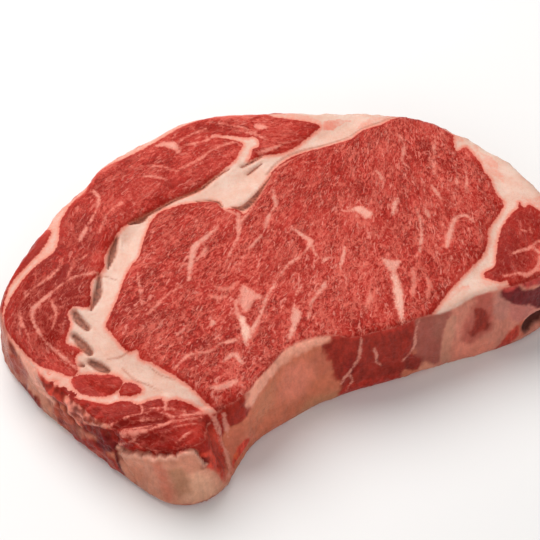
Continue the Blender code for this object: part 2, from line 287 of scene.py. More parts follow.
# Patches painted over each other: colour, softness of the edge, whether it is bared muscle, outline.
WALL_PATCHES = [
    # The left flank: a band of fat above, then torn muscle and membrane down to the foot.
    ("#BE6A54", 1.2, 0, [(-101, 26), (-92, 22), (-89, 18), (-86, 13), (-84, 5), (-84, -2), (-101, -2)]),
    ("#872919", 0.4, 0, [(-93, 22), (-91, 21.5), (-90.4, 18), (-92, 17)]),
    ("#A73A22", 0.8, 0, [(-94, 15), (-91, 17.5), (-89.5, 13), (-91.5, 7), (-95, 8)]),
    ("#A84A3A", 0.9, 0, [(-90, 19), (-88.5, 19.5), (-86.5, 15), (-85, 9), (-88, 8), (-90, 12)]),
    ("#D0866C", 1.2, 0, [(-87, 14), (-80, 16), (-76, 12), (-70, 12), (-67, 9), (-70, -2), (-86, -2)]),
    ("#EFA68F", 1.0, 0, [(-95, 25), (-89.5, 20), (-86.5, 16.5), (-83.5, 13.5), (-80.5, 12.5), (-77, 12),
                         (-76, 15), (-79, 18), (-81, 25)]),
    ("#8A1F14", 0.7, 1, [(-92, 1), (-89.6, 4), (-87, 6.5), (-83, 8), (-82.4, 3), (-84, -2), (-92, -2)]),
    ("#CC4A3B", 0.7, 1, [(-83, 23), (-80.5, 20), (-79, 17.6), (-76, 15.6), (-73, 17), (-72, 22), (-74, 26),
                         (-82, 26)]),
    ("#B8553F", 0.9, 0, [(-77, 13), (-73, 14.5), (-70.5, 14), (-69, 10), (-69, 5), (-73, 2), (-77, 6)]),
    ("#EC8F7C", 0.6, 0, [(-72.6, 20.4), (-70, 22), (-66.6, 21.4), (-66, 18.6), (-67.4, 16.8), (-71, 17)]),
    ("#DC7C68", 0.6, 0, [(-69.4, 16), (-66, 17.6), (-64.6, 16.4), (-65.4, 14), (-68.6, 13)]),
    ("#E88472", 0.6, 0, [(-64.4, 20.6), (-61, 22.4), (-57.5, 24), (-56, 26), (-60, 27), (-66, 23),
                         (-63.4, 18.8)]),
    ("#8E3026", 0.5, 1, oval(-75, 6.5, 1.4, 1.8)),
    ("#A62B20", 0.8, 1, [(-72, 3), (-70, 7), (-67, 8.6), (-63, 10.5), (-59, 8), (-56, 8), (-53, 4),
                         (-51, -2), (-72, -2)]),
    ("#C8745E", 0.7, 0, [(-70, 7), (-67, 11), (-64, 13), (-62.6, 12), (-65, 9.4), (-69, 5.6)]),
    ("#8C2014", 0.6, 1, [(-67.4, 15), (-64, 18), (-62, 20), (-57, 22.4), (-56, 20.6), (-58, 18.4),
                         (-62, 13.8), (-67, 11)]),
    ("#74181A", 0.8, 1, [(-62.4, 13), (-60.6, 16), (-58.6, 18.6), (-55.8, 20), (-54.6, 14), (-57, 10.4),
                         (-60, 8.6), (-62.4, 9)]),
    ("#BE5A4C", 0.7, 0, [(-68, 1), (-64, 4.4), (-60, 6.4), (-56.6, 5.6), (-55, 2), (-60, 3.4), (-64, 1)]),
    # Painted shade: near-black red in the corner where the flank meets the tail's fat.
    ("#5A0E0A", 0.5, 1, [(-56.5, 12), (-55.2, 15), (-53.2, 12), (-51, 7), (-50, 2), (-53, 3), (-55.4, 8)]),
    ("#8A4A34", 0.8, 0, [(-56, 2), (-50, 3), (-46, 1), (-44, -2), (-58, -2)]),
    # The tail: its red side, then the lip of fat that hangs over it.
    ("#9E2318", 0.7, 1, [(-56, 16), (-54, 26), (-22, 30), (-19, 20), (-24, 14), (-26, 17), (-40, 21)]),
    ("#CD886F", 0.4, 0, TAIL_FAT_EDGE + [(-24.5, 16), (-22.5, 11), (-19.5, 4), (-19, -2), (-52, -2),
                         (-53, 4), (-54.5, 9)]),
    ("#E2A88B", 2.5, 0, [(-34, 14), (-27, 15), (-22, 5), (-26, 2), (-34, 4)]),
    ("#B57D61", 2.0, 0, [(-38, 17), (-34, 19), (-31, 13), (-32, 7), (-36, 6)]),
    ("#C7755E", 1.6, 0, [(-43, 19), (-40, 20), (-36.5, 10), (-37, 4), (-39.5, 5)]),
    ("#C98066", 1.2, 0, [(-52, 12), (-47, 15), (-45, 9), (-48, 5), (-51, 5)]),
    ("#A8604A", 0.9, 0, [(-50, 1.6), (-40, 1.2), (-30, 1.4), (-24, 2), (-24, -2), (-52, -2)]),
    ("#CD4634", 0.5, 1, [(-27, 21.5), (-23.5, 21), (-21, 15), (-20, 9), (-19.3, 4.5), (-21.5, 9),
                         (-23.5, 13.5), (-26, 17)]),
    # Painted shade: a dark spot for the shade in a small pit above the red nub.
    ("#7A221B", 0.6, 1, oval(-26, 18.4, 1.1, 1.6)),
    # The front of the eye: a long tan membrane, bared muscle, then a bruised membrane.
    ("#C46C53", 1.5, 0, [(-18, 17), (-14, 17), (-13, 9), (-17, 4), (-19, 8)]),
    ("#9C2B1F", 0.6, 1, [(-20.5, 27), (-17, 34), (-10, 34), (-9.6, 28), (-12, 21), (-16, 19), (-19, 20)]),
    ("#C06A52", 2.0, 0, [(9, 27), (15, 26), (16.5, 20), (14, 15), (10, 17)]),
    ("#C4805E", 3.0, 0, [(6, 5), (13, 7), (19, 5), (19, -2), (5, -2)]),
    ("#C87A5C", 2.5, 0, [(-10, 22), (-7, 26), (-3, 24), (-4, 15), (-9, 12)]),
    ("#DC8068", 3.0, 0, [(-1, 24), (7, 24), (9, 16), (5, 10), (-1, 14)]),
    # A pale band along the top of the front wall: partly the membrane's pale bead, partly a painted
    # highlight where the rim turns up.
    ("#F4A78E", 1.3, 0, [(-11, 23), (-8.5, 26.4), (-3, 27.6), (6, 28), (15, 29), (19, 30), (19, 36),
                         (-11, 36), (-12.5, 28)]),
    ("#D04635", 0.5, 1, [(-17.5, 5.5), (-16, 8), (-13.8, 10.6), (-11.6, 9), (-12, 7), (-15, 5), (-17, 4)]),
    ("#DE633F", 0.4, 0, oval(-16.3, 6.4, 0.8, 0.8)),
    ("#982D22", 0.9, 1, [(12.5, 26.5), (15, 30), (18, 34), (44, 34), (44.6, 22), (43, 15), (46.5, 13),
                         (49, 6), (44.5, 5), (41, 7), (40, 3), (36, -2), (22, -2), (19, 1), (19, 9),
                         (16.5, 13), (16, 18)]),
    ("#B93A30", 1.2, 1, [(17, 34), (17, 30.5), (30, 29), (43, 28), (44, 34)]),
    ("#B93528", 0.9, 1, [(19.5, 6), (27, 7), (34, 6.5), (39, 5), (38, -2), (20, -2)]),
    ("#89231C", 0.9, 1, oval(22.5, 17, 2.6, 4.5)),
    ("#8D2C22", 0.5, 1, [(40.5, 11), (43.5, 13.2), (46.5, 12), (48.5, 6), (46, 3.8), (42, 5.8)]),
    ("#DD9176", 0.9, 0, [(46, 4), (49, 7.5), (54, 6), (54, -2), (44, -2)]),
    ("#D2836F", 1.5, 0, [(54, 36), (92, 36), (92, -2), (54, -2)]),
    ("#A4564A", 0.9, 0, [(44.8, 34), (51, 33.5), (55, 31), (56.4, 24), (54.4, 19), (53.6, 12), (53, 4.5),
                         (50, 5.5), (47, 9.5), (44, 14.5), (43.6, 24)]),
    ("#A25E50", 2.2, 0, [(50, 29), (54, 29), (54.5, 20), (51.5, 16)]),
    ("#CD8972", 0.6, 0, [(55, 25), (58, 25), (58.2, 16), (57.2, 9), (57.4, 3), (54, 4), (53.8, 15)]),
    ("#E18872", 1.6, 0, [(59, 12), (70, 9), (73, 2), (62, -1), (58, 0), (58, 7)]),
    ("#BA6153", 1.6, 0, [(65, 30), (70, 30), (71.6, 21), (72, 14), (68, 10.5), (63, 9), (60.5, 12),
                         (61, 19), (64, 25)]),
    ("#943429", 0.9, 1, [(64.5, 24.5), (67, 23.4), (70, 18.5), (70, 13.5), (67, 13), (64.8, 11.5),
                         (63.6, 14), (65, 18.5)]),
    ("#BE7B6D", 1.2, 0, [(72, 30), (77, 27), (77.6, 20), (76, 15), (73, 15.5), (71.6, 22)]),
    ("#C04233", 0.5, 1, [(73.5, 2), (76.5, 6.5), (80, 10), (82, 9.5), (81.5, 5), (78, 1), (75, 0.5)]),
    ("#C37469", 0.7, 0, [(77, 23), (83, 20), (89, 14.5), (94, 13), (94, 9), (88, 9.5), (84.5, 13.5),
                         (81.5, 11.5), (78, 15)]),
    ("#CC6E57", 0.6, 0, [(81.4, 12), (83.6, 11.5), (83.6, 5), (82, 4)]),
    ("#702325", 0.6, 1, [(73.5, 27.5), (77.5, 23), (83.5, 19.5), (88, 14.5), (93, 14), (101, 14), (101, 25),
                         (84, 26.5), (80, 29.5), (74, 30)]),
    ("#C04843", 0.8, 1, [(74, 29), (80, 29.5), (84, 27.5), (101, 26), (101, 36), (74, 36)]),
    # Painted shade: the hollow at the rib end is painted dark brown, besides being sunk.
    ("#55271F", 0.7, 0, HOLLOW),
]
WALL_LINES = [  # thin pale lines over the wall: points (x, z) with the half width at each
    [(25.3, 29, 0.1), (25, 23, 0.3), (24, 18, 0.3), (21.5, 13, 0.35), (19, 9, 0.25)],
    [(22, 12, 0.15), (23, 8, 0.3), (21, 4, 0.2)],
    [(30, 23, 0.1), (31, 19, 0.25), (31, 15, 0.25), (32.5, 13, 0.1)],
    [(40, 12, 0.15), (42.6, 15.4, 0.3), (44, 19, 0.3), (44, 25, 0.3), (45.2, 30, 0.3)],
    [(-23.6, 26, 0.5), (-22, 21, 0.4), (-20.8, 13, 0.35), (-19.2, 8, 0.35), (-18, 3, 0.4)],
    [(-20, 25, 0.2), (-19, 19, 0.4), (-19, 15, 0.2)],
    [(83, 13, 0.3), (86, 14.5, 0.4), (91, 11.5, 0.3)],
]

# Lumps of torn meat on the left flank: (x, z), reach and height.
LUMPS = [
    (-81, 20, 2.0, 0.9), (-78, 18.5, 1.8, 1.0), (-75, 18.6, 1.8, 0.9), (-77, 22, 1.8, 0.8),
    (-71.5, 19.4, 2.1, 1.5), (-68.4, 20.6, 2.1, 1.5), (-69.6, 16.8, 1.8, 1.2), (-65, 20, 1.9, 1.2),
    (-61.6, 22, 1.8, 1.1), (-66.6, 16, 1.5, 0.8), (-72.6, 14.6, 1.7, 0.7), (-62, 13.4, 1.6, 0.6),
    (-58.6, 14.6, 2.2, 0.9), (-64, 8, 2.4, 0.8), (-86, 6, 2.2, 0.8),
]

# Broad light and dark in the muscles: (x, y), reach and strength, above 0 where it is lighter.
TONES = [
    # the eye
    (-38, 8, 12, -.3), (-35, 22, 12, -.25), (-50, -14, 8, -.35), (-50, -20, 12, -.2), (-40, -28, 12, -.35),
    (-28, -39, 9, -.4), (-24, -38, 9, -.25), (-25, -44, 9, .25), (-14, -28, 10, -.3), (-6, 8, 10, .1),
    (5, -25, 14, .1), (12, 46, 16, -.25), (20, 17, 9, .35), (20, 25, 14, .2), (30, -12, 16, .25),
    (33, 0, 8, .25), (46, -13, 8, -.3), (49, 55, 7, -.3), (52, 10, 12, .15), (66, 53, 5, .7),
    # the cap, from its back end round to the left flank
    (0, 66, 10, -.1), (-30, 60, 16, -.1), (-25, 27, 7, .25), (-46, 35, 7, .25), (-52, 42, 14, -.3),
    (-63, 22, 9, -.3), (-70, 14, 10, -.3), (-66, 5, 7, .1), (-78, 0, 9, -.2), (-76, -8, 13, -.6),
    (-77, -12, 10, -.3), (-88, -12, 7, -.35), (-80, -22, 9, -.25), (-89, -21, 8, -.6), (-83, -31, 7, -.3),
    # the small muscles and the tail
    (-60, -44, 8, -.15), (-48, -56, 9, -.7), (-46, -66, 7, -.8), (-38, -67, 8, -.6), (-34, -60, 7, .25),
    (-30, -64, 8, .3),
    # the rib end
    (76, 8, 8, -.5), (78, 20, 5, -.35), (80, 10, 9, -.3), (91, 8, 5, .9), (93, 18, 6, .3),
]


# ---------------------------------------------------------------- measuring
def smooth(points, closed=False, steps=4):
    """A soft curve through the points, whatever they carry besides their place."""
    p = np.asarray(points, float)
    if closed:
        before, start, end, after = (np.roll(p, turn, axis=0) for turn in (1, 0, -1, -2))
    elif len(p) < 3:
        return p
    else:
        padded = np.vstack([2 * p[0] - p[1], p, 2 * p[-1] - p[-2]])
        before, start, end, after = padded[:-3], padded[1:-2], padded[2:-1], padded[3:]
    rows = [
        0.5 * (2 * start + (end - before) * t + (2 * before - 5 * start + 4 * end - after) * t * t
               + (3 * start - before - 3 * end + after) * t ** 3)
        for t in np.arange(steps) / steps
    ]
    curve = np.stack(rows, 1).reshape(-1, p.shape[1])
    return curve if closed else np.vstack([curve, p[-1]])


def line_gap(places, line, half, reach=LINE_REACH):
    """How far each place is from the side of a line with that half width at each of its points."""
    gap = np.full(len(places), reach)
    line = np.asarray(line, float)
    half = np.broadcast_to(np.asarray(half, float), len(line))
    room = reach + half.max()
    chosen = np.flatnonzero(((places > line.min(0) - room) & (places < line.max(0) + room)).all(1))
    p = places[chosen]
    best = np.full(len(p), reach)
    for a, b, wide_a, wide_b in zip(line[:-1], line[1:], half[:-1], half[1:]):
        step = b - a
        t = np.clip((p - a) @ step / max(step @ step, 1e-9), 0, 1)
        away = np.linalg.norm(p - a - t[:, None] * step, axis=1)
        np.minimum(best, away - (wide_a + (wide_b - wide_a) * t), out=best)
    gap[chosen] = best
    return gap


def lines_gap(places, lines):
    """The nearest of several lines, each point of which ends with its half width."""
    gap = np.full(len(places), LINE_REACH)
    for line in lines:
        curve = smooth(line)
        np.minimum(gap, line_gap(places, curve[:, :-1], np.maximum(curve[:, -1], 0.05)), out=gap)
    return gap


def area_gap(places, outline, reach=AREA_REACH):
    """How far each place is outside a closed outline, and less than nothing inside it."""
    ring = smooth(outline, closed=True)
    closed = np.vstack([ring, ring[:1]])
    gap = line_gap(places, closed, 0, reach)
    near = np.flatnonzero(((places > ring.min(0)) & (places < ring.max(0))).all(1))
    x, y = places[near].T
    inside = np.zeros(len(near), bool)
    for (ax, ay), (bx, by) in zip(closed[:-1], closed[1:]):
        if ay != by:
            inside ^= ((ay > y) != (by > y)) & (x < ax + (y - ay) * (bx - ax) / (by - ay))
    gap[near[inside]] *= -1
    return gap


def ease(value, start, end):
    """0 before start and 1 after end, with a soft turn between. Start may be the larger."""
    t = np.clip((value - start) / (end - start), 0, 1)
    return t * t * (3 - 2 * t)


def bell(gap, width):
    """1 where there is no gap, and next to nothing from about twice that width."""
    return np.exp(-((np.maximum(gap, 0) / width) ** 2))


def clouds(places, size, octaves=2, shift=0.0):
    """Soft noise from about -1 to 1 whose lumps are about that many millimetres across."""
    where = places / np.broadcast_to(np.asarray(size, float), 3) + shift
    return np.array([noise.fractal(Vector(p), 1.0, 2.0, octaves) for p in where]) * 1.3


def knobs(places, size):
    """Rounded lumps about that many millimetres across, from about -1 between them to 1 on top."""
    return np.array([1.0 - 2.6 * noise.voronoi(Vector(p / size))[0][0] for p in places])


def colour(code):
    """An sRGB hex code as the linear colour that a shader takes."""
    parts = [int(code[i:i + 2], 16) / 255 for i in (1, 3, 5)]
    return [c / 12.92 if c <= 0.04045 else ((c + 0.055) / 1.055) ** 2.4 for c in parts] + [1.0]


def blend(paint, code, share):
    """The paint with that share of another colour in it."""
    return paint + (np.array(colour(code)[:3]) - paint) * share[:, None]


# ---------------------------------------------------------------- the skin's mesh
def fine_skin(node):
    """A close, even mesh over the solid, with its facets smoothed away and a coarser underside."""
    mesh = node.data.copy()
    shell = bmesh.new()
    shell.from_mesh(mesh)
    bmesh.ops.remove_doubles(shell, verts=shell.verts, dist=1e-6)
    shell.to_mesh(mesh)
    shell.free()
    mesh.materials.clear()
    skin = bpy.data.objects.new("steak_flesh", mesh)
    bpy.context.scene.collection.objects.link(skin)
    even = skin.modifiers.new("even", "REMESH")
    even.mode = "VOXEL"
    even.voxel_size = SKIN_PITCH * MM
    soften = skin.modifiers.new("soften", "SMOOTH")
    soften.factor = 0.5
    soften.iterations = 10
    bake_modifiers(skin)
    thin_underside(skin)
    return skin


def thin_underside(skin):
    """Leaves out most faces of the flat underside, which has no relief."""
    mesh = skin.data
    points = read_vectors(mesh.vertices, "co") / MM
    # Flat is within a tenth of a millimetre of the ground, and clear of the outline.
    flat = ease(points[:, 2], 0.12, 0.04) * ease(edge_distance(points), 2.0, 4.0) > 0.5
    group = skin.vertex_groups.new(name="underside")
    group.add(np.flatnonzero(flat).tolist(), 1.0, "REPLACE")
    corners = np.empty(len(mesh.loops), np.int32)
    mesh.loops.foreach_get("vertex_index", corners)
    under = flat[corners.reshape(-1, 4)].all(1).sum()  # the even mesh is all four-sided faces
    thin = skin.modifiers.new("thin", "DECIMATE")
    thin.vertex_group = "underside"
    thin.ratio = 1 - UNDER_THINNING * under / len(mesh.polygons)
    bake_modifiers(skin)
    skin.vertex_groups.clear()


def bake_modifiers(skin):
    """Gives the skin the mesh that its modifiers make."""
    graph = bpy.context.evaluated_depsgraph_get()
    made = bpy.data.meshes.new_from_object(skin.evaluated_get(graph))
    skin.modifiers.clear()
    skin.data = made


def read_vectors(items, name):
    """One vector of each vertex or normal, as the rows of an array."""
    values = np.empty(len(items) * 3, np.float32)
    items.foreach_get(name, values)
    return values.reshape(-1, 3).astype(float)


def edge_distance(points):
    """How far inside the steak's outline each point lies, seen from above."""
    # The point farthest from the middle in each degree of turn is on the outline.
    centre = np.array([0.0, 8.0])
    sectors = 360
    away = points[:, :2] - centre
    turn = np.arctan2(away[:, 1], away[:, 0])
    sector = ((turn + math.pi) / (2 * math.pi) * sectors).astype(int) % sectors
    radius = np.zeros(sectors)
    np.maximum.at(radius, sector, np.linalg.norm(away, axis=1))
    angle = (np.arange(sectors) + 0.5) / sectors * 2 * math.pi - math.pi
    ring = centre + radius[:, None] * np.stack([np.cos(angle), np.sin(angle)], 1)
    return line_gap(points[:, :2], np.vstack([ring, ring[:1]]), 0, 40.0)


# ---------------------------------------------------------------- which way the fibres run
CAP_ARC = [
    (14, 70), (0, 66), (-14, 66), (-28, 62), (-40, 54), (-52, 44), (-61, 34), (-66, 24), (-68, 12),
    (-72, 0), (-78, -12), (-81, -24), (-77, -34), (-66, -44), (-50, -52), (-34, -57), (-18, -60),
]


def eye_fibres(x, y):
    """Along and across the eye's fibres, which fan from a slope at its left to upright at its right."""
    across = x.copy()
    for _ in range(14):  # the slope depends on the place across, so the two are found together
        slope = np.clip(0.28 - 0.0066 * across, -0.08, 0.62)
        across = x - y * slope
    return np.stack([y * np.sqrt(1 + slope * slope), across], 1)


def arc_fibres(x, y):
    """Along and across the long muscle that curls round the eye."""
    line = smooth(CAP_ARC, steps=14)
    length = np.concatenate([[0], np.linalg.norm(np.diff(line, axis=0), axis=1).cumsum()])
    tangent = np.gradient(line, axis=0)
    tangent /= np.linalg.norm(tangent, axis=1)[:, None]
    tree = kdtree.KDTree(len(line))
    for i, p in enumerate(line):
        tree.insert((p[0], p[1], 0), i)
    tree.balance()
    index = np.array([tree.find((a, b, 0))[1] for a, b in zip(x, y)])
    away = np.stack([x, y], 1) - line[index]
    along = length[index] + (away * tangent[index]).sum(1)
    across = away[:, 0] * tangent[index][:, 1] - away[:, 1] * tangent[index][:, 0]
    return np.stack([along, across], 1)


def scatter(fibres, allowed, count, seed, half, length, wander):
    """Short threads of fat laid along the fibres at random places. Returns the nearest one's gap."""
    dice = random.Random(seed)
    near = 2.0  # from a thread; nothing farther off is measured
    gap = np.full(len(fibres), LINE_REACH)
    home = np.flatnonzero(allowed)
    order = home[np.argsort(fibres[home][:, 0])]
    places = fibres[order]
    best = np.full(len(places), LINE_REACH)
    for _ in range(count):
        start = places[dice.randrange(len(places))]
        heading = dice.gauss(0, wander)
        steps = dice.randint(2, 4)
        line = [start]
        for _ in range(steps):
            heading += dice.gauss(0, wander)
            stride = length / steps * dice.uniform(0.6, 1.5)
            line.append(line[-1] + stride * np.array([math.cos(heading), math.sin(heading)]))
        line = np.array(line)
        thick = half * dice.uniform(0.55, 1.3)
        widths = thick * np.sin(np.linspace(0.35, math.pi - 0.25, len(line)))  # thin at both ends
        first, last = np.searchsorted(places[:, 0], [line[:, 0].min() - near, line[:, 0].max() + near])
        part = slice(first, last)
        np.minimum(best[part], line_gap(places[part], line, widths, near), out=best[part])
    gap[order] = best
    return gap


# ---------------------------------------------------------------- what each point is made of
class Flesh:
    """What the flesh is at each point of the skin. Gaps are in millimetres, shares from 0 to 1.

    x, y, z: the place. face: seen from above. wall: seen from the front, as (x, z).
    under: whether it is on the lower face. front: share of front wall. rim: how far in from the outline.
    off_face: above 0 on the edge wall and below 0 on a cut face. side: share of edge wall.
    on_wall: whether it is on the edge wall.
    eye, cap, rib, island, tail, strip, small: gap to that muscle. seen: gap to the nearest of them.
    lean: gap to the muscle that shows. soft: how soft its border is. tone: how light it is, partly painted
    light and shade.
    edge: colour of the edge wall, with painted light and shade on the torn lumps. rough: how uneven that is.
    torn, knob: share and height of torn lumps.
    lip: gap to the edge of the tail's fat. below_lip: whether it is under that edge.
    grain: the place along and across the fibres. marble: share of fine marbling.
    vein: gap to a line of fat. pale: how pale that fat is. threads: gap to a scattered thread.
    membrane, crease, pit, crevice, hollow: gap to each of these. stain: share of brown, partly painted
    shade.
    """


def lay_out(points, normals):
    """Everything that relief and the material need to know about each point."""
    f = Flesh()
    find_places(f, points, normals)
    find_muscles(f)
    tear_flank(f, points)
    cover_wall(f, points)
    run_fibres(f)
    draw_veins(f, points)
    mark_fat(f, points)
    set_tones(f)
    return f


def find_places(f, points, normals):
    """Where each point is: on a cut face or the edge wall, and how far in."""
    f.x, f.y, f.z = points.T
    f.under = normals[:, 2] < -0.5
    # On their way down to the lower face the muscles drift by up to about 3 mm.
    drift_x, drift_y = (3.0 * clouds(points * [1, 1, 0] + [0, 0, level], 30) for level in (40, 90))
    f.face = np.stack([f.x + drift_x * f.under, f.y + drift_y * f.under], 1)
    f.wall = np.stack([f.x, f.z], 1)
    f.rim = edge_distance(points)
    f.front = ease(normals[:, 1], 0.05, -0.3)
    # Near the outline a steep slope is edge wall. Farther in, it is only the side of a seam.
    f.off_face = np.where(f.rim < 10, (0.6 - np.abs(normals[:, 2])) * 2.8, -3.0)
    # The membrane at the front wraps over the rim.
    f.off_face += 0.85 * f.front * ease(f.x, -12, -9) * ease(f.x, 22, 17) * (f.z > 15)
    f.side = ease(f.off_face, -0.3, 0.3)
    f.on_wall = f.side > 0.5


def find_muscles(f):
    """How far each point is from each muscle, as if every muscle ran straight down through the steak."""
    f.eye = area_gap(f.face, EYE)
    f.cap = area_gap(f.face, CAP)
    f.rib = area_gap(f.face, RIB)
    f.island = np.minimum(area_gap(f.face, ISLAND), area_gap(f.face, ISLAND_TIP))
    f.tail = area_gap(f.face, TAIL)
    f.strip = area_gap(f.face, RIM_STRIP)
    f.small = np.minimum(f.island, f.tail)
    f.seen = np.min([f.eye, f.cap, f.rib, f.small, f.strip], axis=0)


def tear_flank(f, points):
    """The left flank is torn into rounded lumps, lower towards its foot."""
    f.torn = ease(f.rim, 5.0, 3.5) * ease(f.x, -50.5, -55.5) * ease(f.x, -86, -77) * (f.y < -20) * ~f.under
    f.torn *= 0.4 + 0.6 * ease(f.z, 8, 15)
    f.knob = np.zeros(len(points))
    at = f.torn > 0.01
    f.knob[at] = f.torn[at] * (0.65 * knobs(points[at], 3.3) + 0.35 * knobs(points[at] + 9, 1.8))


def cover_wall(f, points):
    """The colour of the edge wall, with painted light and shade on its torn lumps, and the muscle that shows
    on it or on the cut face.
    """
    # At the back it is fat, with the muscles showing through in uneven upright bands.
    f.rough = clouds(points, (9, 9, 30), 3, 7.0)
    lean_back = f.seen - 2.4 + 3.2 * f.rough
    back = np.tile(colour(BACK_FAT)[:3], (len(points), 1))
    back = blend(back, BACK_MUSCLE, ease(lean_back, 1.6, -1.6))

    # At the front one patch of membrane or bared muscle lies over another.
    lean_front = np.full(len(points), BARED_REACH)
    paint = np.tile(colour(WALL_MEMBRANE)[:3], (len(points), 1))
    wobble = 0.9 * clouds(points, 3.0, 3, 12.0)
    for code, soft, bared, outline in WALL_PATCHES:
        gap = np.where(f.front > 0, area_gap(f.wall, outline), AREA_REACH) + wobble * min(soft, 1.0)
        cover = ease(gap, soft, -soft)
        paint = blend(paint, code, cover)
        hidden = lean_front + (BARED_REACH - lean_front) * cover
        lean_front = np.where(bared, np.minimum(lean_front, gap), hidden)
    # Painted light and shade on the torn lumps: lighter on their tops, and painted shade darkening the gaps
    # between them.
    paint *= 1 + 0.4 * np.clip(f.knob, -1, 1)[:, None]
    paint = blend(paint, TORN_GAP_SHADE, 0.7 * ease(f.knob, -0.05, -0.65))
    paint *= (0.84 + 0.18 * ease(f.z, 1, 20))[:, None]  # duller towards the foot
    f.lip = line_gap(f.wall, TAIL_FAT_EDGE, 0)
    f.below_lip = f.z < np.interp(f.x, *zip(*TAIL_FAT_EDGE))
    paint = blend(paint, LIP_EDGE, ease(f.lip, 1.5, 0.3) * f.below_lip * (f.x > -56) * (f.x < -25))
    f.edge = back + (paint - back) * f.front[:, None]

    lean_wall = np.where(f.front > 0.5, lean_front, lean_back)
    f.lean = np.minimum(np.maximum(f.seen, f.off_face), np.maximum(lean_wall, -f.off_face))
    f.lean = np.minimum(f.lean, 5 - f.torn * (5 - 3 * (f.knob + 0.3)))
    f.soft = 0.24 + 0.4 * f.side


def run_fibres(f):
    """Each muscle has its own direction of fibres, and on the wall they stand upright."""
    x, y = f.face.T
    fibres = eye_fibres(x, y)
    of_arc = (np.min([f.cap, f.small, f.strip], axis=0) < f.eye) & (f.cap < 3)
    of_tail = (f.small < 3) & (f.tail < f.eye)
    fibres = np.where((of_arc | of_tail)[:, None], arc_fibres(x, y) + [APART, 0], fibres)
    of_rib = (f.rib < 3) & (f.rib < f.eye)
    fibres = np.where(of_rib[:, None], f.face[:, ::-1] + [2 * APART, 0], fibres)
    f.grain = np.column_stack([fibres, 0.45 * f.z])  # drawn out upright


def draw_veins(f, points):
    """Lines and patches of fat in their places, scattered threads, and how much marbling there is."""
    vein = np.full(len(points), LINE_REACH)
    f.pale = np.zeros(len(points))
    laid = [(lines_gap(f.face, [line]), pale) for line, pale in EYE_VEINS + CAP_VEINS + RIB_VEINS]
    laid += [(area_gap(f.face, outline, LINE_REACH), pale) for outline, pale in FAT_PATCHES]
    for gap, pale in laid:
        f.pale = np.where(gap < vein, pale, f.pale)
        vein = np.minimum(vein, gap)

    f.threads = np.full(len(points), LINE_REACH)
    fibres = f.grain[:, :2]
    for shift, level in ((0, ~f.under), (UNDER_SEED, f.under)):
        for muscle, inset, count, seed, half, length, wander in THREADS:
            allowed = level & (f.side < 0.5) & (getattr(f, muscle) < -inset)
            gap = scatter(fibres, allowed, count, seed + shift, half, length, wander)
            f.threads = np.minimum(f.threads, gap)

    membrane = lines_gap(points, TAIL_MEMBRANES) + 0.22  # a little thinner than the listed widths
    f.membrane = np.where((f.front > 0.5) | ~f.on_wall, membrane, LINE_REACH)
    over_wall = np.where(f.on_wall & (f.front > 0.5), lines_gap(f.wall, WALL_LINES), LINE_REACH)
    over_face = np.where(f.on_wall, LINE_REACH, vein)
    f.vein = np.min([over_face, f.membrane, over_wall], axis=0)
    f.pale = np.where(f.vein == vein, f.pale, 0.15)
    f.pale = np.where(f.vein == f.membrane, 0.25, f.pale)

    f.marble = 0.12 + sum(share * ease(getattr(f, muscle), 0, -2) for muscle, share in MARBLING.items())
    f.marble = np.clip(f.marble, 0, 1) * (1 - 0.85 * f.side)


def mark_fat(f, points):
    """Creases of the tail, pits, crevices and brown lines of the seam, and the hollow at the rib end, with
    the share of brown: the pits' own brown, and painted shade in the crevices, along the lines and deep in
    the pits.
    """
    f.crease = lines_gap(points, TAIL_CREASES)
    f.pit, f.crevice, brown = (
        np.where(f.on_wall, LINE_REACH, lines_gap(f.face, lines)) for lines in (PITS, CREVICES, BROWN_SHADE_LINES)
    )
    f.hollow = np.where(f.on_wall & (f.front > 0.5), area_gap(f.wall, HOLLOW), AREA_REACH)
    # Browner in patches along the foot of the wall.
    brown_foot = ease(f.z, 3.0, 0.4) * f.side * ease(f.rough, -0.5, 0.3)
    # Brown in the pits, and painted shade in the crevices, along the brown lines and deep in the pits.
    f.stain = np.max([
        0.85 * ease(f.pit, 0.35, -0.35), 0.95 * ease(f.crevice, 0.35, -0.25),
        0.6 * ease(brown, 0.35, -0.25), 0.3 * brown_foot,
    ], axis=0)


def set_tones(f):
    """How light the muscle is, above 0, or how dark, below 0, with painted shade between the torn lumps and
    in the tail's creases and a painted highlight along the back rim.
    """
    # Painted shade in the gaps between the torn lumps.
    f.tone = -1.2 * f.torn * ease(f.knob, 0.1, -0.6)
    for x, y, reach, strength in TONES:
        f.tone += strength * bell(np.hypot(f.face[:, 0] - x, f.face[:, 1] - y), reach)
    f.tone -= 0.45 * ease(f.rib, 1, -4)
    f.tone += 1.7 * ease(f.rim, 6.0, 1.0) * (f.y > 20) * (f.x < 20)  # painted highlight along the rim at the back
    f.tone -= 0.4 * ease(f.tail, 1, -3) * (f.z > 10)
    # Painted shade in the creases of the tail.
    f.tone -= 1.3 * bell(f.crease, 1.1)


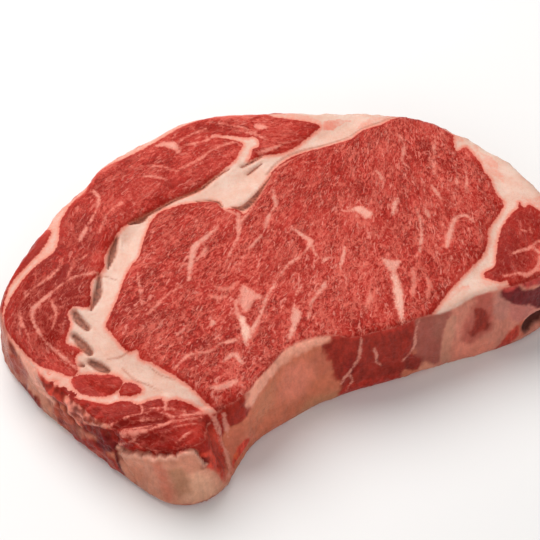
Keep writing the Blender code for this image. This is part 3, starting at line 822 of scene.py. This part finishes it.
def relief(points, normals, f):
    """How far the skin stands out, in millimetres."""
    cut = 1 - f.side
    crown = 1 - np.exp(-np.clip(-f.lean, 0, 8) / 1.6)  # muscle rises from its edge
    sink = 1 - np.exp(-np.clip(f.lean, 0, 8) / 2.0)  # and the fat between sinks
    lift = crown * (0.55 * cut + 0.2 * f.side) - 0.25 * sink * cut
    muscle = ease(f.lean, 0.3, -0.8)
    flow = f.grain * [0.4, 1, 1]
    lift += muscle * (0.26 * clouds(flow, 4.5) + 0.14 * clouds(flow, 1.9, 2, 5.0))
    lift += 0.13 * (1 - muscle) * clouds(points, 8, 2, 9.0)
    lift += 0.10 * muscle * bell(f.vein, 0.45)
    lift += 0.65 * bell(f.membrane, 0.8)
    lift -= 1.0 * bell(f.crease, 0.9)
    lift -= 0.55 * bell(f.crevice, 0.35)
    lift -= 1.7 * ease(f.pit, 0.6, -0.7)
    lift -= 2.0 * ease(f.hollow, 0.8, -1.6)

    # The wall: soft upright folds, lumps of torn meat, and the lip of the tail's fat.
    lift += f.side * (0.45 * clouds(points, (7, 7, 16), 2, 2.0) + 0.2 * clouds(points, 2.4, 2, 4.0))
    lift += 0.8 * f.knob
    at_front = f.front * ease(normals[:, 2], 0.95, 0.8)
    for x, z, reach, height in LUMPS:
        lift += height * at_front * bell(np.hypot(f.x - x, f.z - z), reach)
    near = (f.front > 0.5) * ease(f.x, -57, -55) * ease(f.x, -24, -27)
    lift += 0.5 * near * f.below_lip * ease(f.lip, 0.0, 0.6) * ease(f.lip, 5.0, 2.0)
    lift -= 1.5 * near * ~f.below_lip * bell(f.lip, 1.6)
    return np.where(f.under, 0.0, lift)


# ---------------------------------------------------------------- materials
FIELDS = ("lean", "soft", "vein", "threads", "side", "tone", "pale", "stain", "marble")

# Patterns of the flesh: which way they run, how many of their lumps go into a millimetre, how much
# finer detail they have and how rough it is, and how far they are swirled.
PATTERNS = {
    "tatters": ("anyhow", 0.8, 4, 0.6, 0),  # the ragged border of muscle and fat, 1.2 mm
    "thickness": ("anyhow", 0.22, 1, 0.5, 0),  # a vein swells and thins over 4.5 mm
    "fray": ("anyhow", 1.0, 4, 0.6, 0),  # and frays by the millimetre
    "waxy": ("anyhow", 0.13, 4, 0.6, 0),  # whiter and tanner fat, 8 mm
    "mottle": ("anyhow", 0.6, 4, 0.7, 0),  # pinker spots in the fat, 1.7 mm
    "blotches": ("anyhow", 0.3, 4, 0.65, 0),  # pink and brown on the wall, 3.3 mm
    "breaks": ("anyhow", 0.35, 2, 0.5, 0),  # breaks in the net of marbling, 3 mm
    "brown_mottle": ("anyhow", 0.8, 3, 0.5, 0),  # mottle of the brown and of its painted shade, 1.2 mm
    "clouds": ("along", 0.12, 3, 0.6, 0),  # broad light and dark in a muscle, 8 mm
    "bundles": ("along", 0.95, 3, 0.62, 0.9),  # of fibres, 1 mm: real ones are finer, too fine to show
    "calm": ("along", 0.09, 2, 0.5, 0),  # stretches of 11 mm where the bundles show less
    "crowd": ("along", 0.17, 2, 0.5, 0),  # marbling crowds together every 6 mm
    "specks": ("along", 1.2, 3, 0.62, 0.8),  # of fat, 0.8 mm
    "curls": ("along", 0.5, 3, 0.55, 1.0),  # curling lines of fat, 2 mm apart
    "hairs": ("drawn_out", 0.75, 2, 0.5, 1.2),  # hair-fine threads of fat, 1.3 mm apart
    "streaks": ("upright", 0.55, 4, 0.7, 0),  # on the wall, 1.8 mm
}

SOFT_STEP = {"interpolation_type": "SMOOTHSTEP"}  # a Map Range with soft ends
OF_COLOURS = {"out": 2, "data_type": "RGBA"}  # a Mix of colours


def add(tree, kind, inputs, out=0, **settings):
    """Adds a node, sets it, fills its inputs with values or links, and returns one of its outputs.

    In a Map Range input 0 is the value, 1 and 2 are the range it comes from and 3 and 4 the range
    it goes to. In a Mix input 0 is the share of the second of the colours 6 and 7.
    """
    node = tree.nodes.new("ShaderNode" + kind)
    for name, setting in settings.items():
        setattr(node, name, setting)
    for key, given in inputs.items():
        if isinstance(given, bpy.types.NodeSocket):
            tree.links.new(given, node.inputs[key])
        else:
            node.inputs[key].default_value = given
    return node.outputs[out]


def fields_and_patterns(tree):
    """Everything that the flesh is worked out from, by name."""
    value = {name: add(tree, "Attribute", {}, out=2, attribute_name=name) for name in FIELDS}
    grain = add(tree, "Attribute", {}, out=1, attribute_name="grain")
    value["edge"] = add(tree, "Attribute", {}, out=1, attribute_name="edge")
    here = add(tree, "TexCoord", {}, out=3)
    place = add(tree, "VectorMath", {0: here, 3: 1 / MM}, operation="SCALE")  # millimetres
    way = {"anyhow": place}
    for name, start, stretch in (
        ("along", grain, (0.62, 1.0, 1.0)),
        ("drawn_out", grain, (0.4, 1.0, 1.0)),
        ("upright", place, (1.0, 1.0, 0.35)),
    ):
        way[name] = add(tree, "VectorMath", {0: start, 1: stretch}, operation="MULTIPLY")
    for name, (runs, per_mm, detail, roughness, swirl) in PATTERNS.items():
        value[name] = add(tree, "TexNoise", {
            "Vector": way[runs], "Scale": per_mm,
            "Detail": detail, "Roughness": roughness, "Distortion": swirl,
        })
    # A net of lines round meshes of 3.3 mm along the fibres, bent every 2.5 mm.
    bend = add(tree, "TexNoise", {"Vector": way["along"], "Scale": 0.4, "Detail": 2.0}, out=1)
    bent = add(tree, "VectorMath", {0: bend, 1: (3.5, 3.5, 3.5), 2: way["along"]}, operation="MULTIPLY_ADD")
    value["net"] = add(tree, "TexVoronoi", {"Vector": bent, "Scale": 0.3}, feature="DISTANCE_TO_EDGE")
    return value


def red_muscle(tree, value):
    """Bundles of fibres over their grain, painted lighter on their tops and darker between them as light and
    shade, in broad clouds of lighter and darker red.

    Returns the colour, and how far the bundles stand out.
    """
    calm = add(tree, "MapRange", {0: value["calm"], 1: 0.38, 2: 0.6, 3: 0.5, 4: 1.1})
    grit = add(tree, "MapRange", {0: value["marble"], 1: 0.15, 2: 1.0, 3: 1.0, 4: 3.2})
    grit = add(tree, "Math", {0: grit, 1: calm}, operation="MULTIPLY")
    bundle_height_and_shade = add(tree, "Math", {0: value["bundles"], 1: 0.5}, operation="SUBTRACT")
    bundle_height_and_shade = add(tree, "Math", {0: bundle_height_and_shade, 1: grit}, operation="MULTIPLY")
    shade = add(tree, "Math", {0: value["clouds"], 1: 1.6, 2: -0.3}, operation="MULTIPLY_ADD")
    # Painted light and shade: each bundle is lighter where it stands out and darker between.
    shade = add(tree, "Math", {0: shade, 1: bundle_height_and_shade}, operation="ADD")
    shade = add(tree, "Math", {0: value["tone"], 1: 0.5, 2: shade}, operation="MULTIPLY_ADD")
    middle = add(tree, "MapRange", {0: shade, 1: 0.0, 2: 0.6})
    light = add(tree, "MapRange", {0: shade, 1: 0.5, 2: 1.15})
    red = add(tree, "Mix", {0: middle, 6: colour("#88170F"), 7: colour("#B12C22")}, **OF_COLOURS)
    red = add(tree, "Mix", {0: light, 6: red, 7: colour("#DA6254")}, **OF_COLOURS)
    return red, bundle_height_and_shade


def marbling(tree, value):
    """How much fat is worked through the muscle: specks, curling lines and a broken net.

    The specks crowd together in clouds and along the scattered threads, so that a thread is a row
    of specks and not a clean line.
    """
    is_thread = add(tree, "MapRange", {0: value["threads"], 1: 0.7, 2: -0.1}, **SOFT_STEP)
    specks = add(tree, "Math", {0: value["crowd"], 1: 0.35, 2: value["specks"]}, operation="MULTIPLY_ADD")
    specks = add(tree, "Math", {0: is_thread, 1: 0.17, 2: specks}, operation="MULTIPLY_ADD")
    specks = add(tree, "MapRange", {0: specks, 1: 0.70, 2: 0.92, 4: 0.8}, **SOFT_STEP)
    curls = add(tree, "Math", {0: value["curls"], 1: 0.5}, operation="SUBTRACT")
    curls = add(tree, "Math", {0: curls}, operation="ABSOLUTE")
    curls = add(tree, "MapRange", {0: curls, 1: 0.04, 2: 0.0}, **SOFT_STEP)
    crowded = add(tree, "MapRange", {0: value["crowd"], 1: 0.38, 2: 0.6})
    curls = add(tree, "Math", {0: curls, 1: crowded}, operation="MULTIPLY")
    net = add(tree, "MapRange", {0: value["net"], 1: 0.085, 2: 0.01}, **SOFT_STEP)
    whole = add(tree, "MapRange", {0: value["breaks"], 1: 0.46, 2: 0.6})
    net = add(tree, "Math", {0: net, 1: whole}, operation="MULTIPLY")
    fleck = add(tree, "Math", {0: specks, 1: curls}, operation="MAXIMUM")
    fleck = add(tree, "Math", {0: fleck, 1: net}, operation="MAXIMUM")
    return add(tree, "Math", {0: fleck, 1: value["marble"]}, operation="MULTIPLY")


def marbled_muscle(tree, value, fleck, muscle):
    """The muscle with its marbling, and with hair-fine pale threads along the fibres."""
    faint = add(tree, "Math", {0: fleck, 1: 0.62}, operation="MULTIPLY")
    muscle = add(tree, "Mix", {0: faint, 6: muscle, 7: colour("#E87765")}, **OF_COLOURS)
    hairs = add(tree, "MapRange", {0: value["hairs"], 1: 0.57, 2: 0.7, 4: 0.6}, **SOFT_STEP)
    hairs = add(tree, "Math", {0: hairs, 1: value["marble"]}, operation="MULTIPLY")
    return add(tree, "Mix", {0: hairs, 6: muscle, 7: colour("#EE9180")}, **OF_COLOURS)


def veined_muscle(tree, value, muscle):
    """The muscle with its frayed veins, redder at their margins. Returns where the veins are too."""
    gap = add(tree, "Math", {0: value["thickness"], 1: 1.8, 2: value["vein"]}, operation="MULTIPLY_ADD")
    gap = add(tree, "Math", {0: value["fray"], 1: 2.0, 2: gap}, operation="MULTIPLY_ADD")
    is_vein = add(tree, "MapRange", {0: gap, 1: 2.5, 2: 1.5}, **SOFT_STEP)
    solid = add(tree, "MapRange", {0: value["pale"], 3: 0.7, 4: 0.95})
    is_vein = add(tree, "Math", {0: is_vein, 1: solid}, operation="MULTIPLY")
    vein = add(tree, "Mix", {0: value["pale"], 6: colour("#EE8C7A"), 7: colour("#F6C2AE")}, **OF_COLOURS)
    margin = add(tree, "MapRange", {0: gap, 1: 0.9, 2: 2.1, 4: 0.75})
    vein = add(tree, "Mix", {0: margin, 6: vein, 7: colour("#DE6C5A")}, **OF_COLOURS)
    return add(tree, "Mix", {0: is_vein, 6: muscle, 7: vein}, **OF_COLOURS), is_vein


def seam_fat(tree, value, lean):
    """Cream and waxy, with pinker spots, and pinkest where it meets muscle."""
    waxy = add(tree, "MapRange", {0: value["waxy"], 1: 0.35, 2: 0.65})
    fat = add(tree, "Mix", {0: waxy, 6: colour("#DEAE9A"), 7: colour("#E4C3B2")}, **OF_COLOURS)
    mottle = add(tree, "MapRange", {0: value["mottle"], 1: 0.5, 2: 0.75, 4: 0.5})
    fat = add(tree, "Mix", {0: mottle, 6: fat, 7: colour("#D99E88")}, **OF_COLOURS)
    blush = add(tree, "MapRange", {0: lean, 1: 1.9, 2: 0.0, 4: 0.9}, **SOFT_STEP)
    return add(tree, "Mix", {0: blush, 6: fat, 7: colour("#E3816D")}, **OF_COLOURS)


def edge_wall(tree, value, is_lean, is_vein):
    """Each patch's own colour, streaked upright, faintly in membrane and more in muscle, and blotched."""
    streak = add(tree, "Math", {0: value["streaks"], 1: 0.5}, operation="SUBTRACT")
    strong = add(tree, "MapRange", {0: is_lean, 3: 0.65, 4: 1.8})
    shade = add(tree, "Math", {0: streak, 1: strong, 2: 1.0}, operation="MULTIPLY_ADD")
    wall = add(tree, "VectorMath", {0: value["edge"], 3: shade}, operation="SCALE")
    blotch = add(tree, "MapRange", {0: value["blotches"], 1: 0.35, 2: 0.65})
    browner = (0.92, 0.90, 0.88, 1)
    pinker = (1.08, 1.05, 1.06, 1)
    blotch = add(tree, "Mix", {0: blotch, 6: browner, 7: pinker}, **OF_COLOURS)
    wall = add(tree, "VectorMath", {0: wall, 1: blotch}, operation="MULTIPLY")
    return add(tree, "Mix", {0: is_vein, 6: wall, 7: colour("#E59683")}, **OF_COLOURS)


def stained(tree, value, flesh):
    """The flesh browned in its pits, and with painted shade in its crevices, along its brown lines and deep
    in its pits.
    """
    brown_mottle = add(tree, "Math", {0: value["brown_mottle"], 1: value["stain"]}, operation="MULTIPLY")
    brown_mottle = add(tree, "MapRange", {0: brown_mottle, 1: 0.2, 2: 0.55})
    brown = add(tree, "Mix", {0: brown_mottle, 6: colour("#B06048"), 7: colour("#6A2E20")}, **OF_COLOURS)
    return add(tree, "Mix", {0: value["stain"], 6: flesh, 7: brown}, **OF_COLOURS)


def raw_beef_flesh():
    """Raw marbled beef, cut across its fibres with a knife.

    To the eye it is wet red muscle flecked with fat, smooth cream seam fat, and a thin tan membrane
    on the edge wall, all with a soft gloss that the bundles and specks break up.
    """
    material = bpy.data.materials.new("raw_marbled_beef")
    material.use_nodes = True
    tree = material.node_tree
    tree.nodes.clear()
    value = fields_and_patterns(tree)

    # The gap to muscle is shifted a little before it is cut off, which makes the border ragged.
    lean = add(tree, "Math", {0: value["tatters"], 1: 1.6, 2: value["lean"]}, operation="MULTIPLY_ADD")
    lean = add(tree, "Math", {0: lean, 1: 0.8}, operation="SUBTRACT")
    inward = add(tree, "Math", {0: value["soft"], 1: -1.0}, operation="MULTIPLY")
    is_lean = add(tree, "MapRange", {0: lean, 1: value["soft"], 2: inward}, **SOFT_STEP)

    muscle, bundle_height_and_shade = red_muscle(tree, value)
    fleck = marbling(tree, value)
    muscle = marbled_muscle(tree, value, fleck, muscle)
    muscle, is_vein = veined_muscle(tree, value, muscle)
    fat = seam_fat(tree, value, lean)
    face = add(tree, "Mix", {0: is_lean, 6: fat, 7: muscle}, **OF_COLOURS)
    wall = edge_wall(tree, value, is_lean, is_vein)
    flesh = add(tree, "Mix", {0: value["side"], 6: face, 7: wall}, **OF_COLOURS)
    # Brown in the pits, and painted shade in the crevices and along the brown lines.
    flesh = stained(tree, value, flesh)

    # The bundles and specks stand proud of the skin by tenths of a millimetre, and the fat is uneven.
    height = add(tree, "Math", {0: bundle_height_and_shade, 1: is_lean}, operation="MULTIPLY")
    height = add(tree, "Math", {0: height, 1: 0.22}, operation="MULTIPLY")
    height = add(tree, "Math", {0: fleck, 1: 0.25, 2: height}, operation="MULTIPLY_ADD")
    height = add(tree, "Math", {0: value["tatters"], 1: 0.45, 2: height}, operation="MULTIPLY_ADD")
    shader = add(tree, "BsdfPrincipled", {
        "Base Color": flesh,
        "Roughness": add(tree, "MapRange", {0: value["tatters"], 1: 0.3, 2: 0.7, 3: 0.22, 4: 0.48}),
        "Normal": add(tree, "Bump", {"Strength": 1.0, "Distance": 0.55 * MM, "Height": height}),
        "IOR": 1.36,  # meat juice
        "Specular IOR Level": 0.2,
        "Specular Tint": colour("#FFD0C4"),
        "Subsurface Weight": 0.15,
        "Subsurface Radius": (1.0, 0.36, 0.24),  # red light goes deepest
        "Subsurface Scale": 1.4 * MM,
    })
    tree.links.new(shader, tree.nodes.new("ShaderNodeOutputMaterial").inputs["Surface"])
    return material


def plain_floor():
    """A matt, near-white board, so that the meat is the only colour."""
    material = bpy.data.materials.new("white_board")
    material.use_nodes = True
    shader = material.node_tree.nodes["Principled BSDF"]
    shader.inputs["Base Color"].default_value = colour("#F3F1EF")
    shader.inputs["Roughness"].default_value = 0.9
    return material


# ---------------------------------------------------------------- building
def store(mesh, name, values, kind):
    """Keeps a field on the mesh, where the material reads it."""
    attribute = mesh.attributes.new(name, kind, "POINT")
    part = "value" if kind == "FLOAT" else "vector"
    attribute.data.foreach_set(part, np.asarray(values, np.float32).ravel())


def build_skin():
    """The steak: the skin over its solid, in relief, with its fields and its flesh."""
    low, high = (np.array(corner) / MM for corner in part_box("steak"))
    skin = fine_skin(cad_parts["steak"])
    mesh = skin.data
    points = read_vectors(mesh.vertices, "co") / MM
    normals = read_vectors(mesh.vertex_normals, "vector")
    f = lay_out(points, normals)
    moved = points + normals * relief(points, normals, f)[:, None]
    moved = np.clip(moved, low + BOX_MARGIN, high - BOX_MARGIN)
    mesh.vertices.foreach_set("co", (moved * MM).astype(np.float32).ravel())
    mesh.update()
    mesh.shade_smooth()
    for name in FIELDS:
        store(mesh, name, getattr(f, name), "FLOAT")
    store(mesh, "grain", f.grain, "FLOAT_VECTOR")
    store(mesh, "edge", f.edge, "FLOAT_VECTOR")
    mesh.materials.append(raw_beef_flesh())
    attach(skin, "root")
    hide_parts("steak")


def soft_light(name, place, size, power):
    """A round lamp that shines on the middle of the steak."""
    lamp = bpy.data.lights.new(name, "AREA")
    lamp.shape = "DISK"
    lamp.size = size
    lamp.energy = power
    holder = bpy.data.objects.new(name, lamp)
    holder.location = place
    holder.rotation_euler = (Vector((0, 0, 0.02)) - Vector(place)).to_track_quat("-Z", "Y").to_euler()
    bpy.context.scene.collection.objects.link(holder)


def studio():
    """A white board in a pale room, a large lamp above and behind, and a weak one in front."""
    scene = bpy.context.scene
    scene.view_settings.view_transform = "Standard"
    board = bpy.data.meshes.new("board")
    board.from_pydata([(-3, -3, 0), (3, -3, 0), (3, 3, 0), (-3, 3, 0)], [], [(0, 1, 2, 3)])
    board.materials.append(plain_floor())
    floor = bpy.data.objects.new("board", board)
    scene.collection.objects.link(floor)
    world = bpy.data.worlds.new("pale_room")
    world.use_nodes = True
    background = world.node_tree.nodes["Background"]
    background.inputs["Color"].default_value = colour("#F2F2F2")
    background.inputs["Strength"].default_value = 0.36
    scene.world = world
    soft_light("overhead", (-0.26, 0.34, 0.64), 0.7, 6.0)
    soft_light("front_fill", (0.1, -0.85, 0.5), 0.6, 2.6)


def camera():
    """Looks down on the steak at 50 degrees from the front, through a long lens."""
    aim = Vector((-0.005, 0.013, 0.015))
    steepness = math.radians(50)
    away = 0.75
    lens = bpy.data.cameras.new("camera")
    lens.sensor_width = 36
    lens.lens = 142.5
    lens.clip_start = 0.01
    holder = bpy.data.objects.new("camera", lens)
    holder.location = aim + Vector((0, -away * math.cos(steepness), away * math.sin(steepness)))
    holder.rotation_euler = (aim - holder.location).to_track_quat("-Z", "Y").to_euler()
    bpy.context.scene.collection.objects.link(holder)
    bpy.context.scene.camera = holder


build_skin()
studio()
camera()
